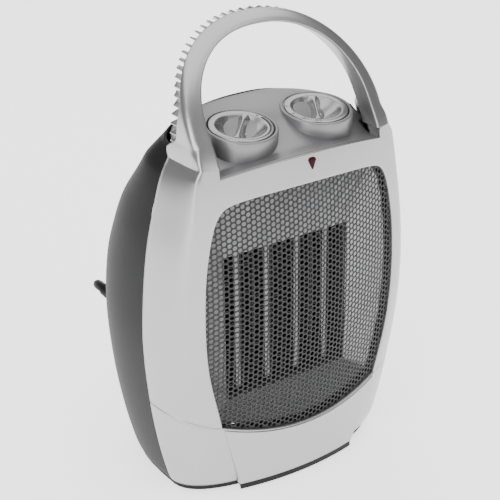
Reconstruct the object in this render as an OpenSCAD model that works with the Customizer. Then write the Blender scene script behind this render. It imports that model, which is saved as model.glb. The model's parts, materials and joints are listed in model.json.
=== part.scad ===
// Ceramic space heater: an oval moulded body on a flat base, a fine round-hole
// grille in front of a ceramic element and a fan, a leaning carrying arch with
// ribs along its back, and two round controls on a domed top panel.
// Millimetres, +Z up, front toward -Y, origin at the bottom centre.
// Shape functions use a frame whose y = 0 is the panel's front corners.

/* [Body] */
// Depth from the panel's front corners to the centre of the footprint
mid_depth = 49.7; // [40:0.1:60]
// Largest half width of the body
half_width = 79; // [70:0.5:90]
// How far the front bulges ahead of the panel's front corners
front_bulge = 12.7; // [6:0.1:18]
// Sideways radius of the front face
front_radius = 163; // [120:1:260]
// Upright radius of the front face
front_rise_radius = 525; // [350:5:900]
// Height of the widest part of the front face
belly_height = 117; // [90:1:140]
// Depth of the seam between front and rear shells
shell_seam = 30; // [24:0.5:38]
// Squareness of the rear outline, 2 is a plain ellipse
rear_squareness = 2.8; // [2:0.1:4]
// Moulded wall thickness
wall = 2.4; // [1.6:0.1:3.2]
// Height of the lower cover's seam at the centre
cover_seam = 35.5; // [25:0.5:45]
// Thickness of the base plate
base_thick = 3; // [2:0.5:5]
// How far the rubber feet stand below the base
foot_stand = 1; // [0.5:0.5:3]

/* [Handle] */
// Half width of the hand gap
arch_half = 50; // [40:1:56]
// Height where the straight legs turn into the arch
arch_spring = 205; // [195:1:215]
// Height of the arch's inner front edge
arch_top = 246; // [230:1:260]
// Width of the arch's face at the legs
arch_face = 9; // [6:0.5:14]
// Width of the arch's face at the top
arch_face_top = 4.6; // [3:0.2:8]
// Depth of the arch's inner wall
arch_depth = 13; // [8:0.5:20]
// Depth of the arch's outer wall
arch_outer_depth = 4; // [3:0.1:8]
// Number of ribs along the back of the arch
rib_count = 39; // [21:2:61]
// Height of the ribs at the inner wall
rib_inner_height = 16; // [14:0.5:18]
// Height of the ribs at the outer wall
rib_outer_height = 11; // [6:0.5:14]
// Thickness of one rib at its foot
rib_thick = 1.6; // [1:0.1:2.4]

/* [Controls] */
// Radius of a knob's skirt
knob_radius = 16.6; // [12:0.1:20]
// Running gap between skirt and collar
knob_gap = 0.6; // [0.3:0.1:1.5]
// Wall of the raised collar
collar_wall = 1.8; // [1:0.1:3]
// Half spacing of the two knobs
knob_half_spacing = 23.5; // [20:0.5:26]
// Distance of the knob centres behind the panel's front corners
knob_back = 19.4; // [14:0.2:26]
// Height of the knob faces at their centres
knob_height = 201.4; // [196:0.2:206]
// Forward tilt of the knob faces
knob_tilt = 9; // [0:0.5:20]
// Radius of the finger bowl
bowl_radius = 12.8; // [9:0.1:14]
// Depth of the finger bowl
bowl_depth = 6; // [3:0.5:9]
// Turn of the thermostat knob at rest
thermostat_rest = -43; // [-135:1:135]
// Turn of the mode knob at rest
mode_rest = -30; // [-90:1:90]
// Radius of the control shafts
shaft_radius = 3; // [2:0.1:4]

/* [Heater] */
// Centre height of the ceramic element and fan
element_height = 94; // [80:1:110]
// Half width of the finned block
element_half_width = 38; // [30:0.5:44]
// Half height of the finned block
element_half_height = 40; // [30:0.5:48]
// Depth of the finned block
element_depth = 16; // [10:0.5:24]
// Front of the finned block
element_front = 15; // [10:0.5:24]
// Number of ceramic bars
bar_count = 4; // [2:1:5]
// Radius of the fan over its blades
fan_radius = 46; // [36:0.5:50]
// Number of fan blades
fan_blades = 7; // [4:1:9]
// Middle of the fan's depth
fan_y = 55; // [50:0.5:62]

/* [Cord] */
// Diameter of the power cord
cord_diameter = 5.2; // [4:0.1:7]
// Radius of the stored coil's outermost turn
coil_radius = 39.2; // [36:0.1:42]
// Turns in the lower layer of the stored coil
lower_turns = 3.5; // [2.5:1:3.5]
// Height of the cord outlet
cord_exit_height = 74; // [60:1:90]
// Distance of the cord outlet left of centre
cord_exit_side = 46; // [30:1:60]

/* [Hidden] */

silver = [0.80, 0.80, 0.81];
dark_grey = [0.25, 0.25, 0.26];
black = [0.08, 0.08, 0.09];
metal = [0.68, 0.68, 0.70];
brass = [0.78, 0.63, 0.32];
white_plastic = [0.90, 0.89, 0.86];
ceramic_white = [0.85, 0.82, 0.76];

rear_power = 2 / rear_squareness;

// Smooth curve through a short list of [position, value] pairs.
function seg(t, v, i = 0) = (i >= len(t) - 2 || v < t[i + 1][0]) ? i : seg(t, v, i + 1);
function slope(t, i) =
    let (a = max(i - 1, 0), b = min(i + 1, len(t) - 1)) (t[b][1] - t[a][1]) / (t[b][0] - t[a][0]);
function curve(t, v) =
    let (w = min(max(v, t[0][0]), t[len(t) - 1][0]), i = seg(t, w), h = t[i + 1][0] - t[i][0],
         s = (w - t[i][0]) / h, a = t[i][1], b = t[i + 1][1],
         ma = slope(t, i) * h, mb = slope(t, i + 1) * h)
    (2 * s ^ 3 - 3 * s ^ 2 + 1) * a + (s ^ 3 - 2 * s ^ 2 + s) * ma
    + (3 * s ^ 2 - 2 * s ^ 3) * b + (s ^ 3 - s ^ 2) * mb;

// Half width at the shell seam, depth of the rear, and half width of the
// front crease, each by height.
width_curve = [[0, 63], [8, 66.5], [30, 72], [58, 76.5], [90, half_width], [116, 78], [143, 74.8],
    [162, 70.5], [181, 65], [192, 59], [206, 50]];
depth_curve = [[0, 104], [30, 108], [60, 111], [95, 112], [122, 109], [140, 102], [158, 93],
    [175, 78], [188, 69], [206, 59]];
crease_curve = [[2, 36], [6, 42], [12, 46.5], [28, 47], [52, 52], [64, 56], [84, 62], [100, 64.3],
    [118, 65.5], [138, 64.5], [162, 62.6], [185, 61], [200, 58]];
// Setback of the bottom edge behind the front face.
tuck_curve = [[2, 5], [8, 2.6], [16, 1], [40, 0], [250, 0]];

function front_y(x, z) = x ^ 2 / (2 * front_radius) - front_bulge
    + (min(z, 190) - belly_height) ^ 2 / (2 * front_rise_radius) + curve(tuck_curve, z);
function bez(a, b, c, t) = (1 - t) ^ 2 * a + 2 * t * (1 - t) * b + t ^ 2 * c;

// One point of the body's outline: u runs 0 at the front centre, 0.4 at the
// crease, 0.65 at the shell seam and 1 at the rear centre; negative is left.
u_crease = 0.4;
u_seam = 0.65;
function half_point(u, z) =
    let (a = curve(width_curve, z), c = min(curve(crease_curve, z), a - 2), cy = front_y(c, z))
    u <= u_crease ? let (x = c * u / u_crease) [x, front_y(x, z), z]
    : u <= u_seam ? let (t = (u - u_crease) / (u_seam - u_crease))
        [bez(c, a, a, t), bez(cy, cy + (a - c) * c / front_radius, shell_seam, t), z]
    : let (q = 90 * (u - u_seam) / (1 - u_seam), b = curve(depth_curve, z) - shell_seam)
        [a * max(cos(q), 0) ^ rear_power, shell_seam + b * sin(q) ^ rear_power, z];
function body_point(u, z) = let (p = half_point(abs(u), z)) [u < 0 ? -p.x : p.x, p.y, p.z];

// Closed solid between a grid of surface points and the same grid moved inward.
function nrm(P, i, j) =
    let (n = len(P) - 1, m = len(P[0]) - 1,
         d = P[min(i + 1, n)][j] - P[max(i - 1, 0)][j], e = P[i][min(j + 1, m)] - P[i][max(j - 1, 0)],
         c = cross(d, e)) c / norm(c);
function inward(P, w) = [for (i = [0:len(P) - 1]) [for (j = [0:len(P[0]) - 1]) P[i][j] - w * nrm(P, i, j)]];
function flat(L) = [for (a = L) for (b = a) b];
module sheet(P, Q) {
    n = len(P);
    m = len(P[0]);
    k = n * m;
    f = concat(
        [for (i = [0:n - 2]) for (j = [0:m - 2]) for (t = [0, 1]) t == 0
            ? [i * m + j, i * m + j + 1, (i + 1) * m + j + 1] : [i * m + j, (i + 1) * m + j + 1, (i + 1) * m + j]],
        [for (i = [0:n - 2]) for (j = [0:m - 2]) for (t = [0, 1]) t == 0
            ? [k + i * m + j, k + (i + 1) * m + j + 1, k + i * m + j + 1] : [k + i * m + j, k + (i + 1) * m + j, k + (i + 1) * m + j + 1]],
        [for (j = [0:m - 2]) for (t = [0, 1]) t == 0 ? [j, k + j + 1, j + 1] : [j, k + j, k + j + 1]],
        [for (j = [0:m - 2]) let (o = (n - 1) * m) for (t = [0, 1]) t == 0 ? [o + j, o + j + 1, k + o + j + 1] : [o + j, k + o + j + 1, k + o + j]],
        [for (i = [0:n - 2]) let (a = i * m, b = (i + 1) * m) for (t = [0, 1]) t == 0 ? [a, b, k + b] : [a, k + b, k + a]],
        [for (i = [0:n - 2]) let (a = i * m + m - 1, b = (i + 1) * m + m - 1) for (t = [0, 1]) t == 0 ? [a, k + b, b] : [a, k + a, k + b]]);
    polyhedron(points = concat(flat(P), flat(Q)), faces = f);
}
// Solid swept through a list of equal rings of points.
module rings(R) {
    m = len(R[0]);
    n = len(R);
    f = concat([[for (j = [m - 1:-1:0]) j]],
        [for (i = [0:n - 2]) for (j = [0:m - 1]) let (a = i * m + j, b = i * m + (j + 1) % m) for (t = [0, 1])
            t == 0 ? [a, b, b + m] : [a, b + m, a + m]],
        [[for (j = [0:m - 1]) (n - 1) * m + j]]);
    polyhedron(points = flat(R), faces = f);
}

// Moves a sub-part from the shape frame to the delivered frame.
module place() { translate([0, -mid_depth, foot_stand - 1]) children(); }

function seam_z(x) = cover_seam + 0.0036 * x ^ 2;
function edge_z(x) = 190 - x ^ 2 / 500;
function rim_z(x) = 203.8 - x ^ 2 / 290;
function spread(a, b, n) = [for (i = [0:n]) a + (b - a) * i / n];

// Outline of the grille opening, right half from the bottom centre upward.
opening_half = [[0, 35.5], [18, 36.8], [35, 40.2], [51, 44.4], [53.5, 55], [57, 69], [59.5, 82], [61, 100],
    [61, 119], [60, 136], [57.5, 151], [55, 161], [52, 167.4], [48, 171], [42, 172.8], [30, 174.4], [15, 175.4], [0, 175.7]];
function mirrored(L) = concat(L, [for (i = [len(L) - 2:-1:1]) [-L[i].x, L[i].y]]);
module front_cut(shrink = 0) {
    translate([0, 30, 0]) rotate([90, 0, 0])
        linear_extrude(60) polygon([for (p = mirrored(opening_half))
            let (c = [0, 106], d = p - c) c + d * (1 - shrink / norm(d))]);
}

/* ---------- silver front ---------- */
function arch_y(x, z) = let (h = max(z - 185, 0)) -8.3 + 0.33 * h + 0.007 * h ^ 2 + x ^ 2 / (2 * front_radius);
// Inner and outer front edges of the arch: s runs -1 at the left foot to 1.
foot_part = 0.16;
arch_foot = 190.2;
function arch_edge(s, outer) =
    let (w = abs(s) > 1 - foot_part ? (1 - abs(s)) / foot_part : 1,
         q = abs(s) > 1 - foot_part ? 0 : 90 * (1 - abs(s) / (1 - foot_part)),
         rx = arch_half + (outer ? arch_face : 0), bz = arch_spring - (outer ? 5 : 0),
         rz = arch_top + (outer ? arch_face_top : 0) - bz,
         x = rx * cos(q) ^ 0.92, z = w < 1 ? arch_foot + (bz - arch_foot) * w : bz + rz * sin(q) ^ 0.92)
    [sign(s) * x, arch_y(x, z), z];
// The outer wall deepens down the legs and reaches the body's seam at the foot.
leg_rear = 23.5;
function ease(t) = let (c = min(max(t, 0), 1)) c * c * (3 - 2 * c);
function leg_end(z) = leg_rear + (shell_seam - 0.4 - leg_rear) * (1 - ease((z - 192) / 4.5));
function outer_depth(b) = max(arch_outer_depth, leg_end(b.z) - b.y);
function arch_section(s) =
    let (a = arch_edge(s, false), b = arch_edge(s, true), d = (b - a) / norm(b - a), w = wall,
         y = [0, 1, 0], back = arch_depth * y, rim = outer_depth(b) * y)
    [a, b, b + rim, b + rim - d * w, b + w * y - d * w, a + w * y + d * w, a + back + d * w, a + back];
arch_steps = spread(-1, 1, 56);

function front_top(u) = abs(u) < 0.33 ? edge_z(body_point(u, 186).x) : 190;

module front_shell() {
    color(silver) place() {
        us = spread(-u_seam, u_seam, 52);
        P = [for (u = us) let (x = body_point(u, 50).x, lo = seam_z(x) + 0.15, hi = front_top(u))
            [for (v = [0:12]) body_point(u, lo + (hi - lo) * v / 12)]];
        difference() {
            sheet(P, inward(P, wall));
            front_cut();
            // the cover closes the opening's lower edge
            translate([0, 30, 0]) rotate([90, 0, 0]) linear_extrude(60) polygon([[-51.2, 44.3], [51.2, 44.3], [40, 30], [-40, 30]]);
            translate([0, 30, lens_z]) rotate([-90, 0, 0]) translate([0, 0, -60]) linear_extrude(60) lens_outline(0.2);
        }
    }
}

module carry_handle() { color(silver) place() rings([for (s = arch_steps) arch_section(s)]); }

// Posts glued inside the front shell's side walls for the rear shell's screws.
module screw_posts() {
    color(silver) place() for (sx = [-1, 1]) for (z = [70, 150])
        translate([sx * (curve(width_curve, z) - 9.4), shell_seam + 4, z]) rotate([90, 0, 0]) difference() {
            cylinder(r = 4.5, h = 14, $fn = 32);
            translate([0, 0, -1]) cylinder(r = 1.5, h = 12, $fn = 24);
        }
}

rib_gap = 0.4;
rib_span = 0.87;
module handle_ribs() {
    color(silver) place() {
        // strip along the channel floor
        rings([for (s = arch_steps) if (abs(s) < 0.96) let (a = arch_edge(s, false), b = arch_edge(s, true),
            d = (b - a) / norm(b - a), g = wall + rib_gap, y0 = wall + rib_gap, y1 = wall + 1.9)
            [a + d * g + [0, y0, 0], b - d * g + [0, y0, 0], b - d * g + [0, y1, 0], a + d * g + [0, y1, 0]]]);
        for (s = spread(-rib_span, rib_span, rib_count - 1)) {
            a = arch_edge(s, false);
            b = arch_edge(s, true);
            d = (b - a) / norm(b - a);
            p = a + d * (wall + rib_gap + 0.6);
            q = b - d * (wall + rib_gap + 0.9);
            r = b - d * 0.3;
            rim = outer_depth(b);
            crest = rim + rib_outer_height - arch_outer_depth;
            over = rim + 1.5 + rib_gap;
            inner_crest = max(rib_inner_height, over + 2);
            t = cross(d, [0, 1, 0]) * rib_thick / 2 / norm(cross(d, [0, 1, 0]));
            // each rib leans over the outer wall and tapers to a narrow crest
            rings([for (k = [[q, 3.2, 3.2, 1], [q, over - 0.3, over - 0.3, 1], [r, over, over, 1],
                [r, inner_crest - 1, crest - 1, 0.6], [r - d * 0.4, inner_crest, crest, 0.25]])
                [p + [0, k[1], 0] - t * k[3], k[0] + [0, k[2], 0] - t * k[3], k[0] + [0, k[2], 0] + t * k[3], p + [0, k[1], 0] + t * k[3]]]);
        }
    }
}

cover_bottom = base_thick + 1.15;
toe_half = 37.5;
toe_flare = 12.5;
toe_stand = 0.7;
// The toe panel stays straight where the cover rounds in at its bottom.
function toe_y(x, z) = front_y(x, z) - curve(tuck_curve, z) - toe_stand;
module lower_cover() {
    color(silver) place() {
        P = [for (u = spread(-u_seam, u_seam, 52)) let (x = body_point(u, 50).x, hi = seam_z(x) - 0.15)
            [for (v = [0:7]) body_point(u, cover_bottom + (hi - cover_bottom) * v / 7)]];
        sheet(P, inward(P, wall));
        T = [for (t = spread(-1, 1, 20)) [for (v = [0:5])
            let (g = v / 5, x = t * (toe_half + toe_flare * g), z = cover_bottom + 0.1 + (seam_z(x) - 0.3 - cover_bottom) * g)
            [x, toe_y(x, z), z]]];
        sheet(T, [for (r = T) [for (p = r) [p.x, front_y(p.x, p.z) + 1.3, p.z]]]);
    }
}

/* ---------- dark rear ---------- */
module rear_shell() {
    color(dark_grey) place() difference() {
        us = concat(spread(u_seam, 1, 22), [for (u = spread(1, u_seam, 22)) if (u < 1) -u]);
        P = [for (u = us) let (x = body_point(u, 196).x, hi = rim_z(x), lo = base_thick + 1.1)
            [for (v = [0:16]) body_point(u, lo + (hi - lo) * v / 16)]];
        translate([0, 0.3, 0]) sheet(P, inward(P, wall));
        // intake slots
        for (x = [-40:8:40]) translate([x - 1.8, 60, 96]) cube([3.6, 70, 62 - abs(x) * 0.6]);
        for (x = [-32:8:32]) translate([x - 1.8, 60, 34]) cube([3.6, 70, 18]);
        translate([-cord_exit_side, 80, cord_exit_height]) rotate([-90, 0, 0]) cylinder(r = 5.2, h = 60, $fn = 32);
    }
}

function both_sides(L) = [for (p = L) for (s = [-1, 1]) [s * p.x, p.y]];
base_screw_spots = both_sides([[34, 44], [20, 92]]);
foot_spots = both_sides([[40, 24], [38, 84]]);
module base_plate() {
    color(black) place() difference() {
        union() {
            translate([0, 0, foot_stand]) linear_extrude(base_thick) union() {
                polygon([for (u = spread(-1, 1, 72)) if (u < 1) let (p = body_point(u, 3)) [p.x * 0.99, (p.y - 50) * 0.99 + 50]]);
                polygon(concat([for (x = spread(-toe_half, toe_half, 12)) [x, toe_y(x, 4) + 0.4]], [[30, 20], [-30, 20]]));
            }
            for (p = base_screw_spots) translate([p.x, p.y, 3.5]) cylinder(r = 4, h = 8, $fn = 32);
        }
        for (p = base_screw_spots) translate([p.x, p.y, 0]) {
            cylinder(r = 1.6, h = 20, $fn = 24);
            cylinder(r = 3.3, h = 2.3, $fn = 32);
        }
        for (p = foot_spots) translate([p.x, p.y, 0]) cylinder(r = 6.1, h = 2, $fn = 32);
        translate([0, 30, 0]) cylinder(r = 5, h = 10, $fn = 32);
        for (x = [-20:8:20]) translate([x - 2, 56, 0]) cube([4, 24, 10]);
    }
}

module foot_pads() {
    color([0.05, 0.05, 0.05]) place()
        for (p = foot_spots) translate([p.x, p.y, 0]) {
            cylinder(r = 6, h = 1.9, $fn = 32);
            translate([0, 0, 1.5]) cylinder(r = 4, h = 0.5, $fn = 32);
        }
}

/* ---------- top panel and controls ---------- */
dome_curve = [[-14, 190], [0, 190.2], [10, 194.3], [20, 199.3], [30, 202.8], [40, 204.8], [50, 205], [62, 203.6]];
function panel_z(x, y) = max(190.3 - x ^ 2 / 472, curve(dome_curve, y) - x ^ 2 / 290);
panel_side = arch_half - 0.4;
panel_rear = 57.6;
panel_gap = 0.5;
// Half width of the panel: between the legs in front, then out to the rear
// shell's rim and round its curve.
function panel_half(y) =
    let (z = 193, a = min(curve(width_curve, z), arch_half + arch_face) - wall - panel_gap, b = panel_rear - shell_seam + 0.5,
         g = min(max((y - 16) / 5, 0), 1), w = panel_side + (a - panel_side) * g * g * (3 - 2 * g))
    y < shell_seam ? w : w * max(1 - ((y - shell_seam) / b) ^ rear_squareness, 0) ^ (1 / rear_squareness);

module at_knob(side) {
    translate([side * knob_half_spacing, knob_back, knob_height]) rotate([knob_tilt, 0, 0]) children();
}

module control_panel() {
    color([0.72, 0.72, 0.74]) place() difference() {
        union() {
            y0 = front_y(0, 188) + wall + 0.4;
            steps = 24;
            P = [for (t = spread(-1, 1, 30)) [for (v = [0:steps])
                let (k = 1 - (1 - v / steps) ^ 1.6, fade = max(0, 1 - k / 0.45), yc = y0 + (panel_rear - y0) * k,
                     x = t * panel_half(yc + panel_side ^ 2 / (2 * front_radius) * fade), y = yc + x ^ 2 / (2 * front_radius) * fade)
                [x, y, panel_z(x, y)]]];
            sheet(P, [for (r = P) [for (p = r) p - [0, 0, wall]]]);
            for (s = [-1, 1]) at_knob(s) translate([0, 0, -11]) cylinder(r = knob_radius + knob_gap + collar_wall, h = 11, $fn = 48);
        }
        for (s = [-1, 1]) at_knob(s) {
            translate([0, 0, -7]) cylinder(r = knob_radius + knob_gap, h = 20, $fn = 48);
            translate([0, 0, -20]) cylinder(r = 5, h = 20, $fn = 32);
        }
    }
}

module knob_form(turn) {
    rotate([0, 0, turn]) difference() {
        union() {
            translate([0, 0, -6.4]) difference() {
                cylinder(r = knob_radius, h = 6.4, $fn = 64);
                translate([0, 0, 6.4]) scale([1, 1, bowl_depth / bowl_radius]) sphere(r = bowl_radius, $fn = 40);
            }
            translate([0, 0, -6.4]) cylinder(r = 4.6, h = 1.6, $fn = 32);
            // grip blade across the bowl
            translate([-1.9, -bowl_radius, -6.2]) cube([3.8, 2 * bowl_radius, 6.2]);
        }
        translate([0, 0, -20]) cylinder(r = shaft_radius + 0.02, h = 16, $fn = 32);
    }
}
module thermostat_knob() { color([0.74, 0.74, 0.76]) place() at_knob(-1) knob_form(thermostat_rest); }
module mode_knob() { color([0.74, 0.74, 0.76]) place() at_knob(1) knob_form(mode_rest); }

module control_shaft(bottom) {
    translate([0, 0, bottom]) cylinder(r = shaft_radius, h = -4.1 - bottom, $fn = 32);
}
module thermostat_shaft() { color(metal) place() at_knob(-1) control_shaft(-24); }
module mode_shaft() { color(metal) place() at_knob(1) control_shaft(-24); }

module control_case(w, d, h) {
    difference() {
        union() {
            translate([-w / 2, -d / 2, -15.5 - h]) cube([w, d, h]);
            translate([0, 0, -15.6]) cylinder(r = 4.6, h = 4.2, $fn = 32);
        }
        translate([0, 0, -25]) cylinder(r = shaft_radius + 0.06, h = 20, $fn = 32);
    }
}
module thermostat_body() { color(ceramic_white) place() at_knob(-1) control_case(22, 18, 12); }
module mode_switch() { color(black) place() at_knob(1) control_case(26, 22, 14); }
module thermostat_contacts() {
    color(brass) place() at_knob(-1) for (s = [-1, 1])
        translate([s * 6 - 2.5, -6, -33]) cube([5, 0.8, 5.4]);
}

/* ---------- lamp ---------- */
lens_z = 184.6;
lamp_z = 183.4;
lamp_radius = 2;
module lens_outline(grow = 0) {
    offset(delta = grow) polygon([[0, 3.6], [-0.7, 2.4], [-1.9, -0.9], [-2.2, -2], [-1.8, -2.8], [-0.9, -3.2], [0, -3.3],
        [0.9, -3.2], [1.8, -2.8], [2.2, -2], [1.9, -0.9], [0.7, 2.4]]);
}
module indicator_lens() {
    color([0.32, 0.08, 0.12]) place() translate([0, front_y(0, 184) - 0.5, lens_z]) rotate([-90, 0, 0])
        linear_extrude(wall + 1.4) lens_outline();
}
module lamp_holder() {
    color(black) place() translate([0, front_y(0, 184) + wall + 1.1, lamp_z]) difference() {
        translate([-4.5, 0, -4]) cube([9, 10, 7.6]);
        rotate([-90, 0, 0]) translate([0, 0, -1]) cylinder(r = lamp_radius + 0.3, h = 9, $fn = 24);
    }
}
module neon_lamp() {
    color([0.85, 0.45, 0.35]) place() translate([0, front_y(0, 184) + wall + 1.3, lamp_z]) rotate([-90, 0, 0]) cylinder(r = lamp_radius, h = 6.5, $fn = 24);
}

/* ---------- grille ---------- */
grille_back = 1.5;
module front_grille() {
    color(black) place() difference() {
        P = [for (x = spread(-63, 63, 28)) [for (z = spread(32, 179, 26)) [x, front_y(x, z) + wall + grille_back - 0.9, z]]];
        intersection() {
            sheet(P, [for (r = P) [for (p = r) p + [0, 0.9, 0]]]);
            front_cut(-1.8);
        }
        for (i = [-7:7]) for (k = [0:12]) translate([i * 7.8 - 2.6, -20, 45 + k * 10 - (i % 2 == 0 ? 0 : 5)])
            if (abs(i) < 7 || (k > 3 && k < 10)) cube([5.2, 40, 6]);
    }
}
module grille_frame() {
    color(black) place() difference() {
        P = [for (x = spread(-64, 64, 24)) [for (z = spread(31, 180, 16)) [x, front_y(x, z) + wall + grille_back + 0.3, z]]];
        intersection() {
            sheet(P, [for (r = P) [for (p = r) p + [0, 2.4, 0]]]);
            front_cut(-1.8);
        }
        front_cut(1.2);
    }
}

/* ---------- element and duct ---------- */
duct_wall = 1;
// Closed ring-shaped solid between two looped grids.
module loop_sheet(P, Q) {
    n = len(P);
    m = len(P[0]);
    k = n * m;
    f = [for (i = [0:n - 1]) let (a = i * m, b = ((i + 1) % n) * m) each concat(
        [for (j = [0:m - 2]) each [[a + j, b + j + 1, a + j + 1], [a + j, b + j, b + j + 1]]],
        [for (j = [0:m - 2]) each [[k + a + j, k + a + j + 1, k + b + j + 1], [k + a + j, k + b + j + 1, k + b + j]]],
        [[a, k + b, b], [a, k + a, k + b]],
        [[a + m - 1, b + m - 1, k + b + m - 1], [a + m - 1, k + b + m - 1, k + a + m - 1]])];
    polyhedron(points = concat(flat(P), flat(Q)), faces = f);
}
// The throat's rectangle point that goes with a point of the opening.
function duct_throat(p, g) =
    let (hw = element_half_width + 1.4 + g, hh = element_half_height + 1.4 + g, lo = 44.4, hi = 167.4)
    p.y < 45 ? [hw * p.x / 51, element_height - hh] : p.y > 167 ? [hw * p.x / 52, element_height + hh]
    : [sign(p.x) * hw, element_height - hh + 2 * hh * (p.y - lo) / (hi - lo)];
function duct_grid(g) = [for (p = mirrored(opening_half))
    let (c = [0, 106], d = p - c, q = c + d * (1 - (2.4 - g) / norm(d)), t = duct_throat(p, g))
    [[q.x, front_y(q.x, q.y) + wall + grille_back + 3, q.y], [t.x, element_front - 2, t.y], [t.x, element_front, t.y]]];
// Funnel from behind the grille back to the element
module air_duct() { color(metal) place() loop_sheet(duct_grid(duct_wall), duct_grid(0)); }
module element_frame() {
    color([0.10, 0.10, 0.11]) place() translate([0, element_front + 0.4, element_height]) difference() {
        w = element_half_width + 4;
        h = element_half_height + 5;
        union() {
            translate([-w, 0, -h]) cube([2 * w, element_depth + 4, 2 * h]);
            // lug that carries the thermal cutout
            translate([-9, 8.7, h - 0.1]) cube([18, 1.8, 17]);
        }
        translate([-element_half_width - 0.3, -1, -element_half_height - 0.3])
            cube([2 * element_half_width + 0.6, element_depth + 8, 2 * element_half_height + 0.6]);
    }
}
bar_pitch = 2 * element_half_width / bar_count;
module element_fins() {
    color([0.62, 0.62, 0.64]) place() translate([0, element_front + 2, element_height]) {
        for (i = [0:bar_count - 1]) {
            x0 = -element_half_width + i * bar_pitch;
            fin_w = (bar_pitch - 3.6) / 2;
            for (s = [0, 1]) translate([x0 + s * (fin_w + 3.6), 0, 0]) {
                // thin side plates tie the leaves into one pack
                for (e = [0, fin_w - 0.5]) translate([e, 0, -element_half_height]) cube([0.5, element_depth, 2 * element_half_height]);
                for (z = [-element_half_height:4:element_half_height - 1]) translate([0, 0, z]) cube([fin_w, element_depth, 0.6]);
            }
        }
    }
}
module ceramic_bars() {
    color(ceramic_white) place() translate([0, element_front + 2.6, element_height])
        for (i = [0:bar_count - 1]) translate([-element_half_width + (i + 0.5) * bar_pitch - 1.7, 0, -element_half_height + 0.5])
            cube([3.4, element_depth - 1.2, 2 * element_half_height - 1]);
}
module electrode_tabs() {
    color(brass) place() translate([0, element_front + 10, element_height + element_half_height + 5.3])
        for (x = [-32, -18, 18]) translate([x - 3, 0, 0]) { cube([6, 0.8, 9]); translate([0.5, -2, 0]) cube([5, 5, 0.8]); }
}
module element_clamps() {
    color(metal) place() for (s = [-1, 1]) translate([s * (element_half_width + 7.4), element_front + 0.4, element_height - 14]) difference() {
        translate([-3, 0, 0]) cube([6, element_depth + 6, 28]);
        translate([-10, 6, -1]) cube([9.4 + (s > 0 ? 0 : 2), 6, 40]);
        translate([0, -1, 5]) rotate([-90, 0, 0]) cylinder(r = 1.25, h = 60, $fn = 24);
        translate([0, -1, 23]) rotate([-90, 0, 0]) cylinder(r = 1.25, h = 60, $fn = 24);
    }
}
module element_screws() {
    color(metal) place() for (s = [-1, 1]) for (z = [-9, 9]) translate([s * (element_half_width + 7.4), element_front - 1.8, element_height + z]) rotate([-90, 0, 0]) {
        cylinder(r = 2.6, h = 2, $fn = 24);
        cylinder(r = 1.2, h = 16, $fn = 24);
    }
}
cutout_z = element_height + element_half_height + 13.6;
module thermal_cutout() {
    // flanged disc against the lug, with two blade terminals behind
    color([0.75, 0.72, 0.66]) place() translate([0, element_front + 11, cutout_z]) rotate([-90, 0, 0]) {
        cylinder(r = 8, h = 1.2, $fn = 40);
        cylinder(r = 7, h = 7, $fn = 40);
        for (s = [-1, 1]) translate([s * 5 - 1.6, -0.4, 6.5]) cube([3.2, 0.8, 5]);
    }
}
module thermal_fuse() {
    color([0.86, 0.84, 0.80]) place() translate([22, element_front + 15.5, cutout_z - 3.6]) rotate([0, 90, 0]) {
        cylinder(r = 2, h = 11, $fn = 24);
        translate([0, 0, -4]) cylinder(r = 0.5, h = 19, $fn = 12);
    }
}

/* ---------- fan ---------- */
module fan_shroud() {
    color(black) place() translate([0, 0, element_height]) {
        difference() {
            union() {
                translate([0, fan_y + 13, 0]) rotate([90, 0, 0]) cylinder(r = fan_radius + 5, h = 26, $fn = 72);
                translate([-52, fan_y - 15, -52]) cube([104, 3, 104]);
                for (sx = [-1, 1]) for (z = [-40, 40]) translate([sx * 49 - 3, element_front + 4, z - 3]) cube([6, fan_y - 12 - element_front - 6, 6]);
            }
            translate([0, fan_y + 20, 0]) rotate([90, 0, 0]) cylinder(r = fan_radius + 2.4, h = 40, $fn = 72);
        }
        // spider that carries the motor behind the fan
        for (a = [45:90:315]) rotate([0, a, 0]) translate([14, fan_y + 10, -3]) cube([fan_radius - 10, 3, 6]);
        translate([0, fan_y + 13, 0]) rotate([90, 0, 0]) difference() {
            cylinder(r = 17, h = 3, $fn = 48);
            translate([0, 0, -1]) cylinder(r = 6, h = 6, $fn = 32);
        }
    }
}
module fan_impeller() {
    color([0.86, 0.86, 0.84]) place() translate([0, fan_y, element_height]) rotate([-90, 0, 0]) difference() {
        union() {
            translate([0, 0, -8]) cylinder(r = 13, h = 14, $fn = 48);
            for (i = [0:fan_blades - 1]) rotate([0, 0, i * 360 / fan_blades]) intersection() {
                translate([11, 0, 0]) rotate([38, 0, 0]) translate([0, -11, -0.7]) cube([fan_radius, 22, 1.4]);
                translate([0, 0, -8]) cylinder(r = fan_radius, h = 14.5, $fn = 72);
            }
        }
        translate([0, 0, -5]) cylinder(r = 10.5, h = 20, $fn = 48);
        translate([0, 0, -20]) cylinder(r = 1.55, h = 40, $fn = 24);
    }
    color([0.86, 0.86, 0.84]) place() translate([0, fan_y, element_height]) rotate([-90, 0, 0]) difference() {
        translate([0, 0, -5.1]) cylinder(r = 4, h = 11, $fn = 32);
        translate([0, 0, -20]) cylinder(r = 1.55, h = 40, $fn = 24);
    }
}
module motor_shaft() {
    color(metal) place() translate([0, fan_y - 7, element_height]) rotate([-90, 0, 0]) cylinder(r = 1.53, h = 52, $fn = 24);
}
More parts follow.
